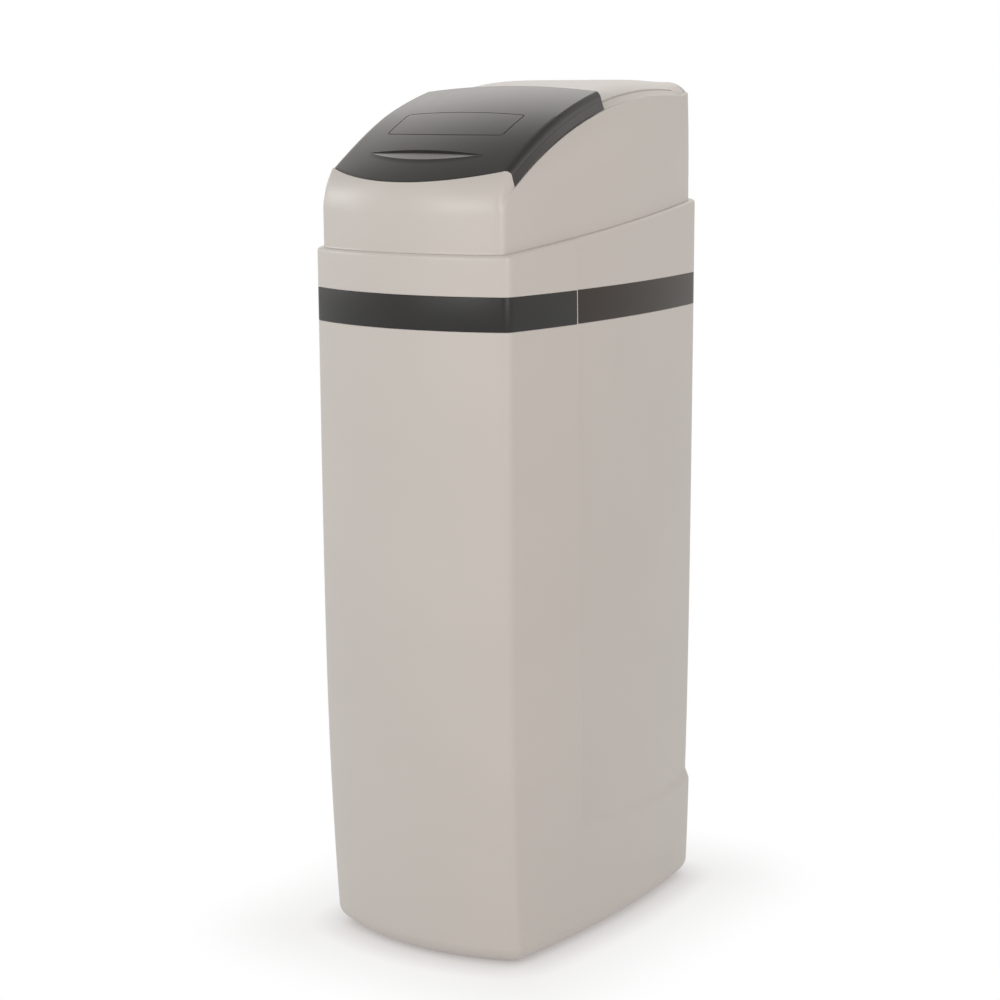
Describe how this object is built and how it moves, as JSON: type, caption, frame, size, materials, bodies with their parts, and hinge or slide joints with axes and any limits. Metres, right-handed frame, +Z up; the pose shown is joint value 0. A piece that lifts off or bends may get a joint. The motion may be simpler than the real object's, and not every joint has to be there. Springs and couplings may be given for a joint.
{
  "type": "water softener",
  "caption": "Tall bow-fronted cabinet water softener with a lift-off cover, a curved sliding salt lid, a trim band, and a resin vessel, control valve and brine well inside.",
  "frame": {"origin": "on the floor, under the middle of the tub's width and depth", "axes": "+Z up, front towards -Y, the part's right hand side as seen from its front towards +X"},
  "size_m": [0.338, 0.5367, 1.131],
  "materials": {
    "shell": "fine satin grain",
    "lid": "satin",
    "front_trim": "stippled",
    "rear_trim": "satin",
    "boot": "matt",
    "vessel": "wound fibre under resin",
    "resin": "fine beads",
    "pipe": "smooth",
    "seal": "smooth",
    "valve": "moulded",
    "disc": "lapped",
    "gear": "moulded",
    "plate": "moulded",
    "steel": "turned",
    "motor": "pressed can",
    "injector": "smooth",
    "fitting": "moulded",
    "panel": "fine grain",
    "window": "clear, blank",
    "board": "lacquered",
    "button": "matt, unmarked",
    "float": "foamed"
  },
  "bodies": {
    "cabinet_body": {"cabinet": "shell", "front_trim_band": "front_trim", "rear_trim_band": "rear_trim", "tank_boot": "boot", "resin_tank": "vessel", "resin_bed": "resin", "riser_tube": "pipe", "lower_distributor": "pipe", "upper_distributor": "pipe", "neck_o_ring": "seal", "valve_body": "valve", "fixed_disc": "disc", "disc_cover": "plate", "valve_screws": "steel", "drive_motor": "motor", "injector": "injector", "injector_cap": "fitting", "brine_connector": "pipe", "drain_elbow": "pipe", "control_housing": "panel", "display_window": "window", "control_board": "board", "brine_well": "pipe", "brine_valve": "pipe", "brine_line": "pipe", "overflow_fitting": "fitting", "overflow_nut": "fitting", "overflow_gasket": "seal"},
    "cover": {"top_cover": "shell"},
    "lid": {"salt_lid": "lid"},
    "valve_drive": {"drive_gear": "gear", "valve_spindle": "steel", "moving_disc": "disc"},
    "motor_drive": {"motor_pinion": "gear"},
    "float": {"brine_float": "float", "float_rod": "steel"},
    "well_cap": {"brine_well_cap": "fitting"},
    "menu_button_body": {"menu_button": "button"},
    "up_button_body": {"up_button": "button"},
    "down_button_body": {"down_button": "button"},
    "regen_button_body": {"regen_button": "button"}
  },
  "joints": [
    {"name": "cover_lift", "type": "slide", "parent": "cabinet_body", "child": "cover", "axis": [0, 0, 1], "range_m": [0, 0.12]},
    {"name": "lid_slide_back", "type": "hinge", "parent": "cover", "child": "lid", "pos_m": [0, 0.16, 0.49], "axis": [-1, 0, 0], "range_deg": [0, 17]},
    {"name": "drive_gear_turn", "type": "hinge", "parent": "cabinet_body", "child": "valve_drive", "pos_m": [0, 0.0942, 1.0546], "axis": [0, 0, 1], "continuous": true},
    {"name": "pinion_turn", "type": "hinge", "parent": "cabinet_body", "child": "motor_drive", "pos_m": [0, 0.0442, 1.0546], "axis": [0, 0, 1], "continuous": true},
    {"name": "float_rise", "type": "slide", "parent": "cabinet_body", "child": "float", "axis": [0, 0, 1], "range_m": [0, 0.012]},
    {"name": "well_cap_lift", "type": "slide", "parent": "cabinet_body", "child": "well_cap", "axis": [0, 0, 1], "range_m": [0, 0.05]},
    {"name": "menu_button_press", "type": "slide", "parent": "cabinet_body", "child": "menu_button_body", "axis": [0, 0.848, -0.5299], "range_m": [0, 0.0012], "stiffness_N_per_m": 400},
    {"name": "up_button_press", "type": "slide", "parent": "cabinet_body", "child": "up_button_body", "axis": [0, 0.848, -0.5299], "range_m": [0, 0.0012], "stiffness_N_per_m": 400},
    {"name": "down_button_press", "type": "slide", "parent": "cabinet_body", "child": "down_button_body", "axis": [0, 0.848, -0.5299], "range_m": [0, 0.0012], "stiffness_N_per_m": 400},
    {"name": "regen_button_press", "type": "slide", "parent": "cabinet_body", "child": "regen_button_body", "axis": [0, 0.848, -0.5299], "range_m": [0, 0.0012], "stiffness_N_per_m": 400}
  ],
  "couplings": [
    {"joint": "pinion_turn", "follows": "drive_gear_turn", "ratio": -4}
  ]
}
